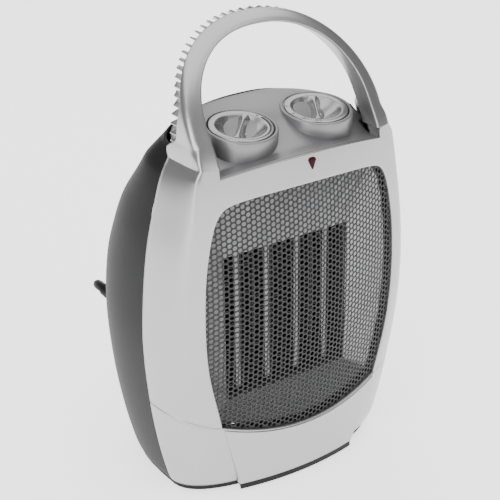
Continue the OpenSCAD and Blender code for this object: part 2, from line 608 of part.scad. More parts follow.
module motor_body() {
    color([0.55, 0.55, 0.57]) place() translate([0, fan_y + 17, element_height]) rotate([-90, 0, 0]) difference() {
        union() {
            cylinder(r = 5.2, h = 3, $fn = 32);
            translate([-19, -15, 2.8]) cube([38, 30, 16]);
            translate([-13, -12, 18.7]) cube([26, 24, 6]);
            translate([0, 0, 24]) cylinder(r = 5.2, h = 3, $fn = 32);
        }
        translate([0, 0, -1]) cylinder(r = 1.6, h = 60, $fn = 24);
    }
}
module motor_bracket() {
    color(metal) place() translate([0, fan_y + 13.3, element_height]) rotate([-90, 0, 0]) difference() {
        union() {
            translate([-28, -7, 0]) cube([56, 14, 1.4]);
            for (s = [-1, 1]) translate([s * 27 - 1, -7, 0]) cube([2, 14, 9]);
        }
        translate([0, 0, -1]) cylinder(r = 7, h = 6, $fn = 32);
        for (s = [-1, 1]) translate([s * 21.5, 0, -1]) cylinder(r = 1.8, h = 6, $fn = 24);
    }
}
module motor_grommets() {
    color([0.15, 0.15, 0.15]) place() for (s = [-1, 1]) translate([s * 21.5, fan_y + 14.8, element_height]) rotate([-90, 0, 0]) difference() {
        cylinder(r = 3.6, h = 2.6, $fn = 28);
        translate([0, 0, -1]) cylinder(r = 1.5, h = 6, $fn = 24);
    }
}
module motor_nuts() {
    color(metal) place() for (s = [-1, 1]) translate([s * 21.5, fan_y + 12.6, element_height]) rotate([-90, 0, 0]) {
        cylinder(r = 1.45, h = 8, $fn = 24);
        translate([0, 0, 4.9]) rotate([0, 0, 30]) cylinder(r = 2.7, h = 2.1, $fn = 6);
    }
}

/* ---------- tip switch, wiring, screws ---------- */
module tip_switch() {
    color(black) place() translate([0, 30, 5]) difference() {
        translate([-9, -6, 2]) cube([18, 12, 20]);
        translate([0, 0, 0]) cylinder(r = 2.55, h = 16, $fn = 32);
    }
}
module tip_plunger() {
    color(white_plastic) place() translate([0, 30, 0]) {
        translate([0, 0, 0.1]) cylinder(r = 4.2, h = 3.4, $fn = 32);
        cylinder(r = 2.45, h = 16, $fn = 32);
    }
}
module screw(head, r, len) {
    difference() {
        cylinder(r = head, h = 2, $fn = 24);
        translate([-head, -0.35, -0.1]) cube([2 * head, 0.7, 0.8]);
        translate([-0.35, -head, -0.1]) cube([0.7, 2 * head, 0.8]);
    }
    translate([0, 0, 1.9]) cylinder(r = r, h = len, $fn = 24);
}
module base_screws() {
    color(metal) place() for (p = base_screw_spots) translate([p.x, p.y, 0.2]) screw(3, 1.5, 9);
}
module shell_screws() {
    color(metal) place() for (sx = [-1, 1]) for (z = [70, 150])
        translate([sx * (curve(width_curve, z) - 10), shell_seam + 22, z]) rotate([90, 0, 0]) screw(3, 1.5, 16);
}
module terminal_block() {
    color(white_plastic) place() translate([-46, 48.5, 4.05]) difference() {
        cube([12, 34, 11]);
        for (i = [0:2]) translate([-1, 6 + i * 11, 5.5]) rotate([0, 90, 0]) cylinder(r = 1.8, h = 20, $fn = 20);
    }
}
module wire(pts) {
    // bent wire with a round point at each turn
    for (i = [0:len(pts) - 2]) {
        d = pts[i + 1] - pts[i];
        translate(pts[i]) rotate([0, acos(d.z / norm(d)), atan2(d.y, d.x)]) cylinder(r = 1, h = norm(d), $fn = 12);
        translate(pts[i + 1]) sphere(r = 1, $fn = 12);
    }
}
module inner_wires() {
    color([0.55, 0.12, 0.10]) place() {
        wire([[-40, 58, 16.2], [-60, 66, 60], [-58, 62, 120], [-30, 40, 160], [-17.5, 20.8, 168]]);
        wire([[-40, 70, 16.2], [-62, 62, 70], [-60, 54, 130], [8, 54, 166], [22, 34, 170.8]]);
        wire([[38.4, 30.5, cutout_z - 3.6], [40, 34, 158], [30, 30, 170.6]]);
    }
}
module cord_clamp() {
    color(black) place() translate([-cord_exit_side, 84, cord_exit_height]) difference() {
        translate([-10, -4, 3.0]) cube([20, 8, 5]);
        rotate([90, 0, 0]) cylinder(r = 3.2, h = 20, center = true, $fn = 32);
        for (s = [-1, 1]) translate([s * 7.4, 0, 0]) cylinder(r = 1.2, h = 20, $fn = 20);
    }
}
module clamp_screws() {
    color(metal) place() for (s = [-1, 1]) translate([-cord_exit_side + s * 7.4, 84, cord_exit_height + 10.2]) rotate([180, 0, 0]) screw(2.2, 1.1, 7);
}

/* ---------- cord ---------- */
exit_y = 107;
relief_length = 24;
module strain_relief() {
    color([0.06, 0.06, 0.06]) place() translate([-cord_exit_side, 0, cord_exit_height]) rotate([-90, 0, 0]) difference() {
        union() {
            translate([0, 0, exit_y - 12]) cylinder(r = 6.6, h = 2.2, $fn = 32);
            translate([0, 0, exit_y - 14]) cylinder(r = 5, h = 12, $fn = 32);
            translate([0, 0, exit_y - 3]) cylinder(r1 = 5, r2 = 3.3, h = relief_length, $fn = 32);
        }
        translate([0, 0, exit_y - 40]) cylinder(r = cord_diameter / 2 + 0.15, h = 80, $fn = 24);
    }
}

coil_at = [42, 152];
coil_lift = 1;
upper_turns = 2.75;
// Route of the free cord, hand-laid between the outlet and the coil.
cord_route = [[-46, 76, 74], [-46, 98, 74], [-46, 114, 74], [-46, 128, 74], [-44.5, 138, 72.5], [-40, 147.5, 68.5], [-33, 156, 62],
    [-25, 163, 53], [-17, 169, 42.5], [-9, 174.5, 31.5], [-0.5, 179.5, 21], [9, 184, 12.5], [20, 187.7, 7], [31, 190.4, 4.4], [42, 191.2, 3.6]];
// Tail from the coil's upper layer to the plug.
tail_route = [[77.3, 147, 9], [77.3, 140, 10.4], [77.3, 133, 12.2], [77.3, 128, 12.6], [77.3, 122.5, 12.6]];
// Cutting the corners turns the laid points into a smooth run.
function cut(L) = concat([L[0]], flat([for (i = [0:len(L) - 2]) [L[i] * 0.75 + L[i + 1] * 0.25, L[i] * 0.25 + L[i + 1] * 0.75]]), [L[len(L) - 1]]);
// One point of the coil after f turns: in from the outside, up, and out again.
function coil_point(f) =
    let (r = coil_radius - cord_diameter * (f < lower_turns ? f : 2 * lower_turns - f),
         up = min(max((f - lower_turns + 0.08) / 0.16, 0), 1), q = 90 - 360 * f)
    [coil_at.x + r * cos(q), coil_at.y + r * sin(q), cord_diameter / 2 + coil_lift + cord_diameter * up];
coil_run = [for (k = [1:round((lower_turns + upper_turns) * 20)]) coil_point(k / 20)];
module tube(L, r, n = 10) {
    N = len(L);
    rings([for (i = [0:N - 1]) let (d = L[min(i + 1, N - 1)] - L[max(i - 1, 0)], t = d / norm(d),
        a0 = cross([0, 0, 1], t), a = norm(a0) < 0.05 ? [1, 0, 0] : a0 / norm(a0), b = cross(t, a))
        [for (k = [n - 1:-1:0]) L[i] + r * (cos(k * 360 / n) * a + sin(k * 360 / n) * b)]]);
}
module power_cord() { color([0.06, 0.06, 0.06]) place() tube(concat(cut(cord_route), coil_run, tail_route), cord_diameter / 2 - 0.03); }
module coil_tie() {
    color([0.10, 0.10, 0.10]) place() translate([coil_at.x - 28.8, coil_at.y, 6.3]) difference() {
        cube([20.8, 6, 12.6], center = true);
        cube([19, 7, 10.8], center = true);
    }
}
plug_at = [77.3, 110, 12.6];
plug_radius = 12.5;
pin_half_spacing = 9.5;
module plug_body() {
    color([0.06, 0.06, 0.06]) place() translate(plug_at) difference() {
        union() {
            rotate([90, 0, 0]) cylinder(r = plug_radius, h = 24, $fn = 40);
            translate([0, 22, 0]) rotate([90, 0, 0]) cylinder(r1 = 4, r2 = 8, h = 22.5, $fn = 32);
        }
        translate([0, 30, 0]) rotate([90, 0, 0]) cylinder(r = cord_diameter / 2 + 0.1, h = 18, $fn = 32);
    }
}
module plug_pins() {
    color(metal) place() for (s = [-1, 1]) translate(plug_at + [s * pin_half_spacing, -24.02, 0]) rotate([90, 0, 0]) {
        cylinder(r = 2.4, h = 17, $fn = 24);
        translate([0, 0, 16.9]) sphere(r = 2.4, $fn = 16);
    }
}

front_shell();
carry_handle();
handle_ribs();
screw_posts();
lower_cover();
rear_shell();
control_panel();
thermostat_knob();
mode_knob();
front_grille();
grille_frame();
indicator_lens();
neon_lamp();
lamp_holder();
air_duct();
element_frame();
element_fins();
ceramic_bars();
electrode_tabs();
element_clamps();
thermal_cutout();
thermal_fuse();
fan_shroud();
fan_impeller();
motor_shaft();
motor_body();
motor_bracket();
motor_grommets();
thermostat_body();
thermostat_shaft();
thermostat_contacts();
mode_switch();
mode_shaft();
tip_switch();
tip_plunger();
base_plate();
foot_pads();
base_screws();
shell_screws();
element_screws();
motor_nuts();
terminal_block();
inner_wires();
cord_clamp();
clamp_screws();
strain_relief();
power_cord();
coil_tie();
plug_body();
plug_pins();
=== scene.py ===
import json
import math

import bmesh
import bpy
import numpy as np
from mathutils import Matrix, Vector

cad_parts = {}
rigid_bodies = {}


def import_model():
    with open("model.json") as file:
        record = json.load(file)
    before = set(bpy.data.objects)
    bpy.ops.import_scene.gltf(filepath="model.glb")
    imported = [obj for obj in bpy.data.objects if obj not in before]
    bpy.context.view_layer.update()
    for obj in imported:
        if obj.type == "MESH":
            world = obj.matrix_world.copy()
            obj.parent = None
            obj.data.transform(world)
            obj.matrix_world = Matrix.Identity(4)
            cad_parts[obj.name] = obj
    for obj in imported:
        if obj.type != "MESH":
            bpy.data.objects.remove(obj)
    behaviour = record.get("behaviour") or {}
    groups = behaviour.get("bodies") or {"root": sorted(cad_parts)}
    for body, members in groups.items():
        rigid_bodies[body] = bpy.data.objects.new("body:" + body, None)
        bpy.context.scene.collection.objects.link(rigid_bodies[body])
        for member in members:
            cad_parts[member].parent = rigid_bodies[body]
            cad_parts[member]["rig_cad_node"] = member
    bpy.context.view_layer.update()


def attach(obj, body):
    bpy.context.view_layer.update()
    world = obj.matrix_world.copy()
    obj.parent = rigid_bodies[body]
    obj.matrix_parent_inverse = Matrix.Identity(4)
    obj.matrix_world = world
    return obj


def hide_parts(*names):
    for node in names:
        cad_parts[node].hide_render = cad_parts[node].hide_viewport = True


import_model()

# Shape functions use millimetres in a frame whose y = 0 is the panel's front
# corners; MID_DEPTH moves them to the part's frame.
MM = 0.001
MID_DEPTH = 49.7
BODY = "heater"


def place(p):
    return (p[0] * MM, (p[1] - MID_DEPTH) * MM, p[2] * MM)


# ---------------------------------------------------------------- camera
CAM_AZ, CAM_EL, CAM_ROLL = math.radians(34.87), math.radians(24.73), math.radians(-0.58)
CAM_AT = (-419.7, -555.9, 455.1)
CAM_LENS = 107.35

forward = Vector((math.sin(CAM_AZ) * math.cos(CAM_EL),
                  math.cos(CAM_AZ) * math.cos(CAM_EL),
                  -math.sin(CAM_EL)))
side = Vector((math.cos(CAM_AZ), -math.sin(CAM_AZ), 0))
up = side.cross(forward)
right = math.cos(CAM_ROLL) * side + math.sin(CAM_ROLL) * up
up = -math.sin(CAM_ROLL) * side + math.cos(CAM_ROLL) * up
cam_data = bpy.data.cameras.new("camera")
cam_data.lens = CAM_LENS
cam_data.sensor_width = 36
cam_data.clip_start = 0.01
cam_data.clip_end = 50
cam = bpy.data.objects.new("camera", cam_data)
bpy.context.scene.collection.objects.link(cam)
cam.matrix_world = Matrix.Translation(place(CAM_AT)) @ Matrix((right, up, -forward)).transposed().to_4x4()
bpy.context.scene.camera = cam


# ---------------------------------------------------------------- shape functions
def curve(table, v):
    v = min(max(v, table[0][0]), table[-1][0])
    i = 0
    while i < len(table) - 2 and v >= table[i + 1][0]:
        i += 1

    def slope(k):
        a, b = max(k - 1, 0), min(k + 1, len(table) - 1)
        return (table[b][1] - table[a][1]) / (table[b][0] - table[a][0])

    h = table[i + 1][0] - table[i][0]
    s = (v - table[i][0]) / h
    return ((2 * s**3 - 3 * s**2 + 1) * table[i][1] + (s**3 - 2 * s**2 + s) * slope(i) * h
            + (3 * s**2 - 2 * s**3) * table[i + 1][1] + (s**3 - s**2) * slope(i + 1) * h)


HALF_WIDTH, SEAM_Y, WALL = 79, 30, 2.4
FRONT_BULGE, FRONT_R, FRONT_RISE_R, BELLY_Z = 12.7, 163, 525, 117
U_CREASE, U_SEAM = 0.4, 0.65
REAR_POWER = 2 / 2.8
WIDTH = [(0, 63), (8, 66.5), (30, 72), (58, 76.5), (90, HALF_WIDTH), (116, 78), (143, 74.8),
         (162, 70.5), (181, 65), (192, 59), (206, 50)]
DEPTH = [(0, 104), (30, 108), (60, 111), (95, 112), (122, 109), (140, 102), (158, 93),
         (175, 78), (188, 69), (206, 59)]
CREASE = [(2, 36), (6, 42), (12, 46.5), (28, 47), (52, 52), (64, 56), (84, 62), (100, 64.3),
          (118, 65.5), (138, 64.5), (162, 62.6), (185, 61), (200, 58)]
TUCK = [(2, 5), (8, 2.6), (16, 1), (40, 0), (250, 0)]


def front_y(x, z):
    return (x * x / (2 * FRONT_R) - FRONT_BULGE + (min(z, 190) - BELLY_Z) ** 2 / (2 * FRONT_RISE_R)
            + curve(TUCK, z))


def bez(a, b, c, t):
    return (1 - t) ** 2 * a + 2 * t * (1 - t) * b + t * t * c


def body_point(u, z):
    v = abs(u)
    a = curve(WIDTH, z)
    c = min(curve(CREASE, z), a - 2)
    cy = front_y(c, z)
    if v <= U_CREASE:
        x = c * v / U_CREASE
        y = front_y(x, z)
    elif v <= U_SEAM:
        t = (v - U_CREASE) / (U_SEAM - U_CREASE)
        x, y = bez(c, a, a, t), bez(cy, cy + (a - c) * c / FRONT_R, SEAM_Y, t)
    else:
        q = math.radians(90 * (v - U_SEAM) / (1 - U_SEAM))
        b = curve(DEPTH, z) - SEAM_Y
        x, y = a * max(math.cos(q), 0) ** REAR_POWER, SEAM_Y + b * math.sin(q) ** REAR_POWER
    return np.array((math.copysign(x, u), y, z))


def u_at(x, z):
    """The outline position where the body is |x| wide, between the front centre and the seam."""
    lo, hi = 0.0, U_SEAM
    for _ in range(30):
        m = (lo + hi) / 2
        lo, hi = (m, hi) if body_point(m, z)[0] < abs(x) else (lo, m)
    return math.copysign(lo, x)


def seam_z(x):
    return 35.5 + 0.0036 * x * x


def edge_z(x):
    return 190 - x * x / 500


def rim_z(x):
    return 203.8 - x * x / 290


# ---------------------------------------------------------------- mesh helpers
def new_object(name, bm, body=BODY, smooth=True):
    bmesh.ops.recalc_face_normals(bm, faces=bm.faces)
    mesh = bpy.data.meshes.new(name)
    bm.to_mesh(mesh)
    bm.free()
    mesh.polygons.foreach_set("use_smooth", [smooth] * len(mesh.polygons))
    o = bpy.data.objects.new(name, mesh)
    bpy.context.scene.collection.objects.link(o)
    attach(o, body)
    return o


def add_grid(bm, rows, closed=False):
    """Quads between equal rows of points in millimetres."""
    vs = [[bm.verts.new(place(p)) for p in r] for r in rows]
    m = len(vs[0])
    for a, b in zip(vs, vs[1:]):
        for j in range(m if closed else m - 1):
            k = (j + 1) % m
            try:
                bm.faces.new((a[j], a[k], b[k], b[j]))
            except ValueError:
                pass
    return vs


def weld(bm, mm=0.02):
    bmesh.ops.remove_doubles(bm, verts=bm.verts, dist=mm * MM)


def lathe(bm, profile, matrix, n=64):
    """Surface of revolution of (radius, height) points in millimetres."""
    rows = []
    for r, z in profile:
        row = []
        for k in range(n):
            t = 2 * math.pi * k / n
            row.append(matrix @ Vector((r * math.cos(t) * MM, r * math.sin(t) * MM, z * MM)))
        rows.append([bm.verts.new(p) for p in row])
    for a, b in zip(rows, rows[1:]):
        for k in range(n):
            bm.faces.new((a[k], a[(k + 1) % n], b[(k + 1) % n], b[k]))
    return rows


def unit(v):
    return v / np.linalg.norm(v)


def resample(points, n):
    """n points evenly spaced along a polyline of 2-D or 3-D points."""
    p = np.array(points, float)
    d = np.concatenate([[0], np.cumsum(np.linalg.norm(np.diff(p, axis=0), axis=1))])
    t = np.linspace(0, d[-1], n)
    return np.stack([np.interp(t, d, p[:, i]) for i in range(p.shape[1])], 1)


def smooth_line(points, rounds=3):
    p = np.array(points, float)
    for _ in range(rounds):
        q = [p[0]]
        for a, b in zip(p, p[1:]):
            q += [a * 0.75 + b * 0.25, a * 0.25 + b * 0.75]
        p = np.array(q + [p[-1]])
    return p


# ---------------------------------------------------------------- materials
def node_material(name, color, rough=0.4, metallic=0.0, bump=0.0, bump_scale=800.0, vary=0.03,
                  rough_vary=0.05, coat=0.0, spec=0.5, sheen_scale=60.0):
    m = bpy.data.materials.new(name)
    m.use_nodes = True
    t = m.node_tree
    t.nodes.clear()
    out = t.nodes.new("ShaderNodeOutputMaterial")
    b = t.nodes.new("ShaderNodeBsdfPrincipled")
    t.links.new(b.outputs[0], out.inputs[0])
    co = t.nodes.new("ShaderNodeTexCoord")
    big = t.nodes.new("ShaderNodeTexNoise")
    big.inputs["Scale"].default_value = sheen_scale
    big.inputs["Detail"].default_value = 3
    t.links.new(co.outputs["Object"], big.inputs["Vector"])
    ramp = t.nodes.new("ShaderNodeMapRange")
    ramp.inputs["To Min"].default_value = 1 - vary
    ramp.inputs["To Max"].default_value = 1 + vary
    t.links.new(big.outputs["Fac"], ramp.inputs["Value"])
    mix = t.nodes.new("ShaderNodeVectorMath")
    mix.operation = "SCALE"
    mix.inputs[0].default_value = color
    t.links.new(ramp.outputs[0], mix.inputs["Scale"])
    t.links.new(mix.outputs[0], b.inputs["Base Color"])
    fine = t.nodes.new("ShaderNodeTexNoise")
    fine.inputs["Scale"].default_value = bump_scale
    fine.inputs["Detail"].default_value = 2
    t.links.new(co.outputs["Object"], fine.inputs["Vector"])
    rr = t.nodes.new("ShaderNodeMapRange")
    rr.inputs["To Min"].default_value = max(rough - rough_vary, 0.02)
    rr.inputs["To Max"].default_value = rough + rough_vary
    t.links.new(fine.outputs["Fac"], rr.inputs["Value"])
    t.links.new(rr.outputs[0], b.inputs["Roughness"])
    if bump:
        bn = t.nodes.new("ShaderNodeBump")
        bn.inputs["Strength"].default_value = bump
        bn.inputs["Distance"].default_value = 0.0002
        t.links.new(fine.outputs["Fac"], bn.inputs["Height"])
        t.links.new(bn.outputs[0], b.inputs["Normal"])
    b.inputs["Metallic"].default_value = metallic
    b.inputs["Coat Weight"].default_value = coat
    b.inputs["Specular IOR Level"].default_value = spec
    return m


SILVER = node_material("silver_paint", (0.42, 0.42, 0.425), 0.3, 0.85, 0.10, 1500, 0.02, 0.04)
PANEL = node_material("panel_paint", (0.25, 0.25, 0.255), 0.38, 0.6, 0.15, 1400, 0.03, 0.04)
KNOB = node_material("knob_paint", (0.36, 0.36, 0.365), 0.25, 0.85, 0.10, 1400, 0.02, 0.04)
REAR = node_material("rear_plastic", (0.012, 0.012, 0.0125), 0.5, 0.0, 0.35, 1800, 0.06, 0.06, spec=0.12)
BLACK = node_material("black_plastic", (0.01, 0.01, 0.0105), 0.5, 0.0, 0.25, 1500, 0.08, spec=0.2)
GRILLE = node_material("grille_enamel", (0.008, 0.008, 0.0085), 0.5, 0.0, 0.1, 1500, 0.08, 0.08)
DUCT = node_material("rolled_sheet", (0.5, 0.5, 0.51), 0.33, 0.75, 0.08, 300, 0.06, 0.08)
METAL = node_material("plated_steel", (0.56, 0.56, 0.58), 0.28, 1.0, 0.08, 900, 0.05, 0.06)
# painted shade: the aluminium fins are coloured near black for the shade they sit in, deep behind the
# grille and bars
FINS_PAINTED_SHADE = node_material("fins_painted_shade", (0.035, 0.035, 0.038), 0.45, 0.5, 0.2, 900, 0.2)
BARS = node_material("bright_bars", (0.34, 0.34, 0.34), 0.3, 0.8, 0.1, 900, 0.05)
ELEMENT = node_material("element_moulding", (0.02, 0.02, 0.022), 0.55, 0.0, 0.3, 1200, 0.1)
CERAMIC = node_material("fired_ceramic", (0.72, 0.68, 0.60), 0.6, 0.0, 0.4, 1400, 0.06)
BRASS = node_material("stamped_brass", (0.70, 0.50, 0.22), 0.3, 1.0, 0.08, 900, 0.06)
WHITE = node_material("white_plastic", (0.78, 0.77, 0.73), 0.42, 0.0, 0.2, 1300, 0.03)
RUBBER = node_material("soft_rubber", (0.006, 0.006, 0.0065), 0.55, 0.0, 0.3, 2200, 0.1, spec=0.12)
WIRE = node_material("wire_sleeve", (0.35, 0.03, 0.02), 0.4, 0.0, 0.1, 900, 0.05)
LENS = node_material("red_lens", (0.035, 0.002, 0.006), 0.3, 0.0, 0.0, 900, 0.1, 0.02, spec=0.1)
LAMP = node_material("lamp_glass", (0.75, 0.35, 0.22), 0.15, 0.0, 0.0, 900, 0.05, 0.02, coat=0.4)
PRINT = node_material("black_print", (0.01, 0.01, 0.01), 0.5, 0.0, 0.1, 1500, 0.08)

CAD_LOOK = {
    "handle_ribs": SILVER, "screw_posts": SILVER, "grille_frame": BLACK, "neon_lamp": LAMP,
    "lamp_holder": BLACK, "air_duct": DUCT, "element_frame": ELEMENT, "element_fins": FINS_PAINTED_SHADE,
    "ceramic_bars": BARS, "electrode_tabs": BRASS, "element_clamps": METAL,
    "thermal_cutout": CERAMIC, "thermal_fuse": CERAMIC, "fan_shroud": BLACK, "fan_impeller": WHITE,
    "motor_shaft": METAL, "motor_body": METAL, "motor_bracket": METAL, "motor_grommets": RUBBER,
    "thermostat_body": CERAMIC, "thermostat_shaft": METAL, "thermostat_contacts": BRASS,
    "mode_switch": BLACK, "mode_shaft": METAL, "tip_switch": BLACK, "tip_plunger": WHITE,
    "base_plate": BLACK, "foot_pads": RUBBER, "base_screws": METAL, "shell_screws": METAL,
    "element_screws": METAL, "motor_nuts": METAL, "terminal_block": WHITE, "inner_wires": WIRE,
    "cord_clamp": BLACK, "clamp_screws": METAL, "strain_relief": RUBBER, "coil_tie": BLACK,
    "plug_body": RUBBER, "plug_pins": METAL,
}


def paint(o, material):
    o.data.materials.clear()
    o.data.materials.append(material)
    return o


def node_object(name):
    for o in bpy.data.objects:
        if o.get("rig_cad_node") == name or o.name == name:
            return o
    raise KeyError(name)


for node, look in CAD_LOOK.items():
    o = node_object(node)
    o.data.materials.clear()
    o.data.materials.append(look)

# ---------------------------------------------------------------- cord
CORD_D = 5.2
ROUTE = [(-46, 98, 74), (-46, 114, 74), (-46, 128, 74), (-44.5, 138, 72.5), (-40, 147.5, 68.5),
         (-33, 156, 62), (-25, 163, 53), (-17, 169, 42.5), (-9, 174.5, 31.5), (-0.5, 179.5, 21),
         (9, 184, 12.5), (20, 187.7, 7), (31, 190.4, 4.4), (42, 191.2, 3.6)]
TAIL = [(77.3, 147, 9), (77.3, 140, 10.4), (77.3, 133, 12.2), (77.3, 128, 12.6), (77.3, 122.5, 12.6)]
COIL_AT, COIL_R, COIL_Z = (42, 152), 39.2, 3.6
LOWER_TURNS, UPPER_TURNS = 3.5, 2.75


def coil_point(f):
    r = COIL_R - CORD_D * (f if f < LOWER_TURNS else 2 * LOWER_TURNS - f)
    rise = min(max((f - LOWER_TURNS + 0.08) / 0.16, 0), 1)
    q = math.radians(90 - 360 * f)
    return np.array((COIL_AT[0] + r * math.cos(q), COIL_AT[1] + r * math.sin(q), COIL_Z + CORD_D * rise))


route = smooth_line(ROUTE, 2)
coil = [coil_point(k / 40) for k in range(1, round((LOWER_TURNS + UPPER_TURNS) * 40) + 1)]
tail = smooth_line([coil[-1]] + [np.array(p, float) for p in TAIL], 2)[1:]
cord_path = list(route) + coil + list(tail)
cd = bpy.data.curves.new("power_cord_line", "CURVE")
cd.dimensions = "3D"
sp = cd.splines.new("POLY")
sp.points.add(len(cord_path) - 1)
for q, p in zip(sp.points, cord_path):
    q.co = (*place(p), 1)
cd.bevel_depth = CORD_D / 2 * MM
cd.bevel_resolution = 4
cd.use_fill_caps = True
cord = bpy.data.objects.new("power_cord_skin", cd)
bpy.context.scene.collection.objects.link(cord)
cd.materials.append(RUBBER)
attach(cord, BODY)
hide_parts("power_cord")


# ---------------------------------------------------------------- front shell and carrying arch
OPENING = [(51, 44.6), (53.5, 55), (57, 69), (59.5, 82), (61, 100), (61, 119), (60, 136), (57.5, 151),
           (55, 161), (52, 167.4), (48, 171), (42, 172.8), (30, 174.4), (15, 175.4), (0, 175.7)]
ARCH_HALF, ARCH_SPRING, ARCH_TOP = 50, 205, 246
ARCH_FACE, ARCH_FACE_TOP, ARCH_DEPTH, ARCH_RIM = 9, 4.6, 13, 4
LEG_Z = 190.0
FOOT_PART = 0.16


def arch_y(x, z):
    h = max(z - 185, 0)
    return -8.3 + 0.33 * h + 0.007 * h * h + x * x / (2 * FRONT_R)


def arch_edge(s, outer):
    w = (1 - abs(s)) / FOOT_PART if abs(s) > 1 - FOOT_PART else 1
    q = 0 if w < 1 else math.radians(90 * (1 - abs(s) / (1 - FOOT_PART)))
    rx = ARCH_HALF + (ARCH_FACE if outer else 0)
    bz = ARCH_SPRING - (5 if outer else 0)
    rz = ARCH_TOP + (ARCH_FACE_TOP if outer else 0) - bz
    x = rx * max(math.cos(q), 0) ** 0.92
    z = LEG_Z + (bz - LEG_Z) * w if w < 1 else bz + rz * math.sin(q) ** 0.92
    return np.array((math.copysign(x, s) if x > 1e-9 else 0.0, arch_y(x, z), z))


def smoothstep(a, b, v):
    t = min(max((v - a) / (b - a), 0), 1)
    return t * t * (3 - 2 * t)


Y = np.array((0, 1, 0))


def off(x, y, z):
    return np.array((x, y, z))


ARCH_COLS = 34
LEG_REAR = 23.5


def rim_depth(b):
    """Depth of the arch's outer wall behind its front edge b; at the foot it reaches the body's seam."""
    end = LEG_REAR + (SEAM_Y - LEG_REAR) * (1 - smoothstep(192, 196.5, b[2]))
    return max(ARCH_RIM, end - b[1])


u_leg = u_at(ARCH_HALF, LEG_Z)
face_u = [u_leg + (U_SEAM - u_leg) * j / 400 for j in range(401)]
leg_line = resample([body_point(u, LEG_Z) for u in face_u], ARCH_COLS + 1)
spots = [body_point(u, LEG_Z) for u in face_u]
face_u = [face_u[int(np.argmin([np.linalg.norm(p - q) for p in spots]))] for q in leg_line]


def arch_profile(s):
    """Outer face of the arch at s: inner front edge, over the front, to the outer wall's rear edge."""
    a, b = arch_edge(s, False), arch_edge(s, True)
    d = unit(b - a)
    width = np.linalg.norm(b - a)
    z = a[2]
    r = min(3.4, width * 0.5)
    path = [a, a + d * width * 0.35 - Y * 0.3, b - d * r - Y * 0.1]
    for k in range(1, 7):
        t = math.radians(15 * k)
        path.append(b - d * r + d * r * math.sin(t) + Y * (r - 0.1) * (1 - math.cos(t)))
    path.append(b + Y * rim_depth(b))
    p = resample(path, ARCH_COLS + 1)
    foot = np.array([(q[0] if s > 0 else -q[0], q[1], q[2]) for q in leg_line]) + np.array(
        (0, arch_y(50, z) - arch_y(50, LEG_Z), z - LEG_Z))
    w = smoothstep(LEG_Z, 207, z)
    return foot * (1 - w) + p * w


bm = bmesh.new()
# the arch: outer skin, lip and channel
S = [-1 + 2 * i / 120 for i in range(121)]
outer_rows = [arch_profile(s) for s in S]
add_grid(bm, outer_rows)
channel = []
for s, row in zip(S, outer_rows):
    a, tip = row[0], row[-1]
    b = arch_edge(s, True)
    d = unit(np.array((b[0] - arch_edge(s, False)[0], 0, b[2] - arch_edge(s, False)[2])))
    ai = a - d * 1.1
    # lip, inner wall, its rounded rear edge and inside, then one face across to the outer wall's rear edge
    channel.append([
        a, a + Y * 0.2 - d * 0.5, a + Y * 0.7 - d * 0.95, a + Y * 1.7 - d * 1.1, ai + Y * ARCH_DEPTH * 0.5,
        ai + Y * (ARCH_DEPTH - 0.6), ai + d * 0.25 + Y * (ARCH_DEPTH - 0.1), ai + d * 0.8 + Y * ARCH_DEPTH,
        ai + d * 2.6 + Y * ARCH_DEPTH, ai + d * 3.1 + Y * (ARCH_DEPTH - 0.5), ai + d * 3.2 + Y * 3.2,
        tip - d * 2.2 - Y * 1.0, tip - d * 1.9 - Y * 0.3, tip - d * 1.4 + Y * 0.05,
        tip - d * 0.4 + Y * 0.1, tip])
add_grid(bm, channel)

# the front face and sides below the arch, from the grille opening outward
right_open = [(x, z) for x, z in OPENING]
open_pts = resample(smooth_line(right_open, 2), 90)
outer_pts = []
side_top = [(U_SEAM, z) for z in np.linspace(seam_z(body_point(U_SEAM, 50)[0]) + 0.15, LEG_Z, 40)]
leg_top = [(u, LEG_Z) for u in face_u[::-1]]
corner = [(u_at(ARCH_HALF, z), z) for z in (188.3, 186.6, edge_z(ARCH_HALF))]
front_top = [(u_at(x, edge_z(x)) if x > 0 else 0.0, edge_z(x)) for x in np.linspace(ARCH_HALF, 0, 26)[1:]]
bound = side_top + leg_top[1:] + corner + front_top
n_side, n_leg, n_corner = len(side_top), len(leg_top) - 1, len(corner)
# opening positions that go with the boundary: the side takes the upright run,
# the leg and corner take the rounded top corner, the top takes the rest
open_s = resample(open_pts, 400)
cum = np.linspace(0, 1, 400)


def open_at(f):
    return np.array([np.interp(f, cum, open_s[:, 0]), np.interp(f, cum, open_s[:, 1])])


i_side = float(np.interp(158, open_s[:330, 1], cum[:330]))
i_corner = float(cum[np.argmin(abs(open_s[:, 0] - 47) + (open_s[:, 1] < 165) * 99)])
fr = list(np.linspace(0, i_side, n_side)) + list(np.linspace(i_side, i_corner, n_leg + n_corner + 1)[1:])
fr += list(np.linspace(i_corner, 1, len(bound) - len(fr) + 1)[1:])
ROWS = 30


def shell_patch(sign):
    rows = []
    for (bu, bz), f in zip(bound, fr):
        ox, oz = open_at(f)
        ou = u_at(ox, oz)
        row = []
        for r in range(ROWS + 1):
            t = r / ROWS
            z = oz + (bz - oz) * t
            u = ou + (bu - ou) * t
            # rows are spaced evenly in u and z between the opening and the boundary
            p = body_point(u, z)
            row.append((sign * p[0], p[1], p[2]))
        rows.append(row)
    return rows


def opening_return(rows, sign):
    """Rounded edge and wall of the opening, turned inward from the first points of the rows."""
    edge = np.array([r[0] for r in rows])
    out = []
    for i, p in enumerate(edge):
        a, b = edge[max(i - 1, 0)], edge[min(i + 1, len(edge) - 1)]
        t = unit(np.array((b[0] - a[0], b[2] - a[2])))
        n = np.array((-t[1], 0, t[0])) * sign
        out.append([p, p + n * 0.35 + Y * 0.1, p + n * 0.62 + Y * 0.35,
                    p + n * 0.75 + Y * 0.8, p + n * 0.8 + Y * 3.4])
    return out


